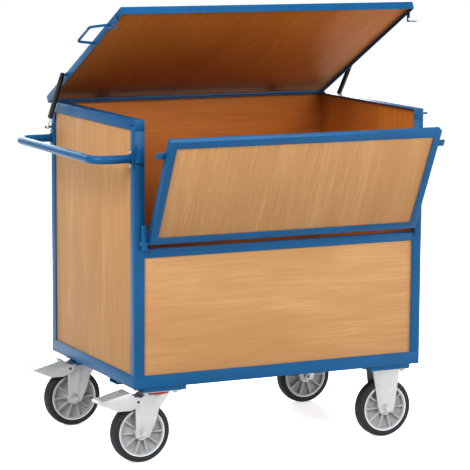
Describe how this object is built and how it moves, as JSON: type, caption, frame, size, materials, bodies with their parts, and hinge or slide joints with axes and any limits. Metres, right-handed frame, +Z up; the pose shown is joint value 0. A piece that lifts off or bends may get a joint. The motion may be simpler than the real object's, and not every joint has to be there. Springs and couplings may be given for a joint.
{
  "type": "box cart",
  "caption": "Steel-framed wooden box cart with hinged lid on gas struts, tilting front flap, push handle, swivel castors with foot brakes and fixed castors.",
  "frame": {"origin": "on the ground, under the middle of the whole object at rest", "axes": "+X from the push handle to the plain end, +Y from the flap to the lid hinges, +Z up"},
  "size_m": [1.233, 0.936, 1.4709],
  "materials": {
    "frame_steel": "satin powder coat",
    "board": "satin beech",
    "zinc": "zinc plated",
    "rim": "matt",
    "tyre": "matt",
    "strut": "semi-gloss black",
    "seal": "matt"
  },
  "bodies": {
    "cart_frame": {"deck_long_rails": "frame_steel", "deck_end_rails": "frame_steel", "deck_support_bars": "frame_steel", "floor_board": "board", "castor_pads": "frame_steel", "front_posts": "frame_steel", "rear_posts": "frame_steel", "side_top_rails": "frame_steel", "rear_top_rail": "frame_steel", "mid_rail": "frame_steel", "left_panel": "board", "right_panel": "board", "rear_panel": "board", "lower_front_panel": "board", "flap_guides": "frame_steel", "flap_catches": "frame_steel", "latch_pins": "frame_steel", "push_handle": "frame_steel", "handle_flanges": "frame_steel", "handle_bolts": "zinc", "strut_lower_studs": "frame_steel", "hinge_brackets": "frame_steel", "hinge_pins": "zinc", "castor_bolts": "zinc", "castor_nuts": "zinc", "swivel_top_plates": "zinc", "swivel_rings": "seal", "kingpins": "zinc", "fixed_forks": "zinc", "fixed_axles": "zinc"},
    "lid": {"lid_frame": "frame_steel", "lid_board": "board", "lid_handle": "frame_steel", "lid_hinge_arms": "frame_steel", "lid_studs": "frame_steel"},
    "left_hook": {"left_hook": "frame_steel"},
    "right_hook": {"right_hook": "frame_steel"},
    "left_strut_tube": {"left_strut_tube": "strut"},
    "left_strut_rod": {"left_strut_rod": "zinc"},
    "right_strut_tube": {"right_strut_tube": "strut"},
    "right_strut_rod": {"right_strut_rod": "zinc"},
    "flap_slider": {"flap_pins": "zinc"},
    "flap": {"flap_frame": "frame_steel", "flap_board": "board", "flap_lugs": "frame_steel"},
    "front_castor": {"front_swivel_fork": "zinc", "front_swivel_axle": "zinc"},
    "rear_castor": {"rear_swivel_fork": "zinc", "rear_swivel_axle": "zinc"},
    "front_pedal": {"front_brake_pedal": "zinc"},
    "rear_pedal": {"rear_brake_pedal": "zinc"},
    "front_left_wheel": {"front_left_rim": "rim", "front_left_tyre": "tyre"},
    "rear_left_wheel": {"rear_left_rim": "rim", "rear_left_tyre": "tyre"},
    "front_right_wheel": {"front_right_rim": "rim", "front_right_tyre": "tyre"},
    "rear_right_wheel": {"rear_right_rim": "rim", "rear_right_tyre": "tyre"}
  },
  "joints": [
    {"name": "lid_hinge", "type": "hinge", "parent": "cart_frame", "child": "lid", "pos_m": [0.053, 0.45513, 1.096], "axis": [-1, 0, 0], "range_deg": [-27.5, 0], "stiffness_Nm_per_rad": 20, "springref_deg": 100.27},
    {"name": "left_rod_turn", "type": "hinge", "parent": "cart_frame", "child": "left_strut_rod", "pos_m": [-0.494, 0.42163, 1.034], "axis": [-1, 0, 0], "range_deg": [-26.18, 0]},
    {"name": "left_tube_turn", "type": "hinge", "parent": "lid", "child": "left_strut_tube", "pos_m": [-0.494, 0.28075, 1.22229], "axis": [-1, 0, 0], "range_deg": [-0.01, 2.32]},
    {"name": "left_hook_swing", "type": "hinge", "parent": "lid", "child": "left_hook", "pos_m": [-0.4815, -0.14825, 1.43772], "axis": [-1, 0, 0], "range_deg": [-50, 76.02]},
    {"name": "right_rod_turn", "type": "hinge", "parent": "cart_frame", "child": "right_strut_rod", "pos_m": [0.6, 0.42163, 1.034], "axis": [-1, 0, 0], "range_deg": [-26.18, 0]},
    {"name": "right_tube_turn", "type": "hinge", "parent": "lid", "child": "right_strut_tube", "pos_m": [0.6, 0.28075, 1.22229], "axis": [-1, 0, 0], "range_deg": [-0.01, 2.32]},
    {"name": "right_hook_swing", "type": "hinge", "parent": "lid", "child": "right_hook", "pos_m": [0.5875, -0.14825, 1.43772], "axis": [-1, 0, 0], "range_deg": [-50, 76.02]},
    {"name": "flap_lift", "type": "slide", "parent": "cart_frame", "child": "flap_slider", "axis": [0, 0, 1], "range_m": [-0.012, 0.048]},
    {"name": "flap_tilt", "type": "hinge", "parent": "flap_slider", "child": "flap", "pos_m": [0.053, -0.28487, 0.726], "axis": [1, 0, 0], "range_deg": [-25.5, 104.5]},
    {"name": "front_castor_swivel", "type": "hinge", "parent": "cart_frame", "child": "front_castor", "pos_m": [-0.369, -0.21087, 0.226], "axis": [0, 0, 1], "continuous": true},
    {"name": "front_pedal_press", "type": "hinge", "parent": "front_castor", "child": "front_pedal", "pos_m": [-0.445, -0.21087, 0.205], "axis": [0, -1, 0], "range_deg": [0, 10]},
    {"name": "front_left_wheel_spin", "type": "hinge", "parent": "front_castor", "child": "front_left_wheel", "pos_m": [-0.426, -0.21087, 0.1], "axis": [0, 1, 0], "continuous": true},
    {"name": "front_right_wheel_spin", "type": "hinge", "parent": "cart_frame", "child": "front_right_wheel", "pos_m": [0.475, -0.21087, 0.1], "axis": [0, 1, 0], "continuous": true},
    {"name": "rear_castor_swivel", "type": "hinge", "parent": "cart_frame", "child": "rear_castor", "pos_m": [-0.369, 0.37413, 0.226], "axis": [0, 0, 1], "continuous": true},
    {"name": "rear_pedal_press", "type": "hinge", "parent": "rear_castor", "child": "rear_pedal", "pos_m": [-0.445, 0.37413, 0.205], "axis": [0, -1, 0], "range_deg": [0, 10]},
    {"name": "rear_left_wheel_spin", "type": "hinge", "parent": "rear_castor", "child": "rear_left_wheel", "pos_m": [-0.426, 0.37413, 0.1], "axis": [0, 1, 0], "continuous": true},
    {"name": "rear_right_wheel_spin", "type": "hinge", "parent": "cart_frame", "child": "rear_right_wheel", "pos_m": [0.475, 0.37413, 0.1], "axis": [0, 1, 0], "continuous": true}
  ],
  "couplings": [
    {"joint": "left_rod_turn", "follows": "lid_hinge", "ratio": 0.9338},
    {"joint": "left_tube_turn", "follows": "lid_hinge", "ratio": -0.0662},
    {"joint": "right_rod_turn", "follows": "lid_hinge", "ratio": 0.9338},
    {"joint": "right_tube_turn", "follows": "lid_hinge", "ratio": -0.0662}
  ]
}
